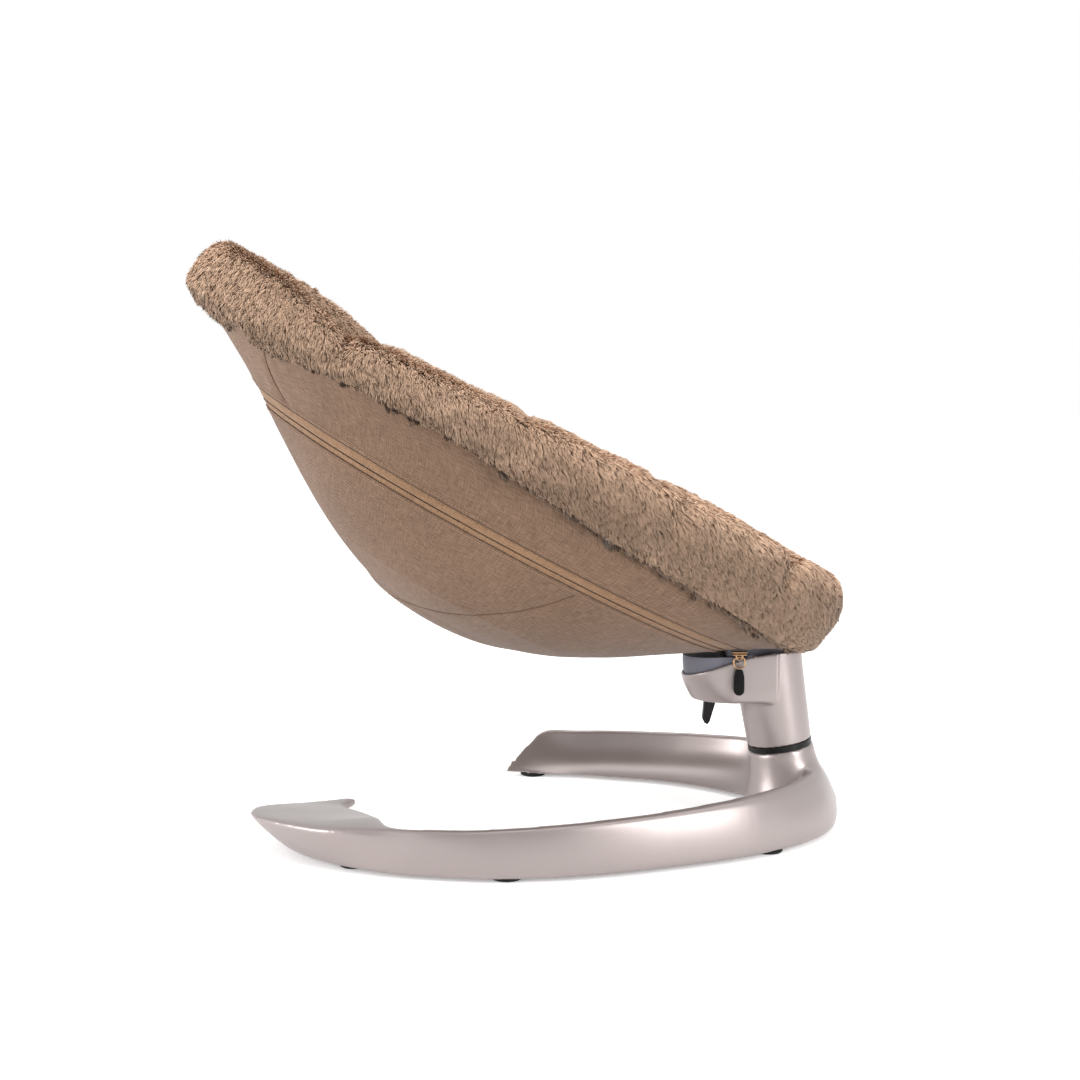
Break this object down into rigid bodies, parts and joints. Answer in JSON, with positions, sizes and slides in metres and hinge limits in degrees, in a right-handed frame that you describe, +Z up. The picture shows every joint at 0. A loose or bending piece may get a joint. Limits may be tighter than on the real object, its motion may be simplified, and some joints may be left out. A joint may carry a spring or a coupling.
{
  "type": "baby bouncer seat",
  "caption": "Leaf-shaped plush and fabric baby seat that sways sideways on a leaning column and reclines in steps, over a C-shaped ribbon base.",
  "frame": {"origin": "on the floor, under the middle of the whole object's box", "axes": "+Z up, +X towards the foot end where the column stands, Y = 0 is the seat's plane of symmetry"},
  "size_m": [0.6593, 0.429, 0.5862],
  "materials": {
    "fur": "matte",
    "melange_fabric": "matte",
    "zip_tape": "matte",
    "zip_teeth": "satin",
    "hoop_aluminium": "satin",
    "sleeve_cloth": "matte",
    "steel": "satin",
    "blue_grey_plastic": "matte",
    "black_plastic": "matte",
    "bush_plastic": "matte",
    "champagne_paint": "satin",
    "bronze_metal": "satin",
    "black_leather": "matte",
    "black_rubber": "matte"
  },
  "bodies": {
    "base": {"base_ribbon": "champagne_paint", "bearing_ring": "black_plastic", "upper_bush": "bush_plastic", "lower_bush": "bush_plastic", "shaft_cover": "black_plastic", "rubber_foot_1": "black_rubber", "rubber_foot_2": "black_rubber", "rubber_foot_3": "black_rubber", "rubber_foot_4": "black_rubber", "rubber_foot_5": "black_rubber", "rubber_foot_6": "black_rubber"},
    "swing_column": {"column_housing": "champagne_paint", "column_shaft": "steel", "shaft_nut": "steel", "shaft_washer": "steel", "stop_pin": "steel", "lever_pin": "steel", "recline_axle": "steel", "recline_axle_cap": "blue_grey_plastic", "thrust_washers": "bush_plastic", "pawl_spring": "steel"},
    "seat": {"hub_block": "blue_grey_plastic", "notch_plate": "steel", "notch_plate_rivets": "steel", "recline_bushes": "bush_plastic", "seat_fork": "steel", "fork_screws": "steel", "hoop_bolts": "steel", "rim_hoop": "hoop_aluminium", "hoop_sleeve": "sleeve_cloth", "rim_band": "melange_fabric", "zip_tape_upper": "zip_tape", "zip_teeth": "zip_teeth", "zip_tape_lower": "zip_tape", "seat_pouch": "melange_fabric", "fur_insert": "fur", "zip_slider_near": "bronze_metal", "zip_slider_far": "bronze_metal"},
    "lever": {"recline_lever": "black_plastic"},
    "pawl": {"lock_pawl": "steel"},
    "pull_near": {"zip_link_near": "bronze_metal", "zip_tab_near": "black_leather"},
    "pull_far": {"zip_link_far": "bronze_metal", "zip_tab_far": "black_leather"}
  },
  "joints": [
    {"name": "sway", "type": "hinge", "parent": "base", "child": "swing_column", "pos_m": [0.268, 0, 0.08], "axis": [-0.1633, 0, 0.9866], "range_deg": [-25, 25]},
    {"name": "recline", "type": "hinge", "parent": "swing_column", "child": "seat", "pos_m": [0.234, 0, 0.167], "axis": [0, -1, 0], "range_deg": [0, 13]},
    {"name": "lever_pull", "type": "hinge", "parent": "swing_column", "child": "lever", "pos_m": [0.201, 0, 0.1365], "axis": [0, 1, 0], "range_deg": [0, 6], "stiffness_Nm_per_rad": 0.5, "springref_deg": -5.73},
    {"name": "pawl_slide", "type": "slide", "parent": "swing_column", "child": "pawl", "axis": [0, 0, -1], "range_m": [0, 0.0034], "deforming": ["pawl_spring"]},
    {"name": "pull_swing_near", "type": "hinge", "parent": "seat", "child": "pull_near", "pos_m": [0.22, -0.043, 0.1753], "axis": [-1, 0, 0], "range_deg": [0, 80]},
    {"name": "pull_swing_far", "type": "hinge", "parent": "seat", "child": "pull_far", "pos_m": [0.22, 0.043, 0.1753], "axis": [1, 0, 0], "range_deg": [0, 80]}
  ],
  "couplings": [
    {"joint": "pawl_slide", "follows": "lever_pull", "m_per_rad": 0.03}
  ]
}
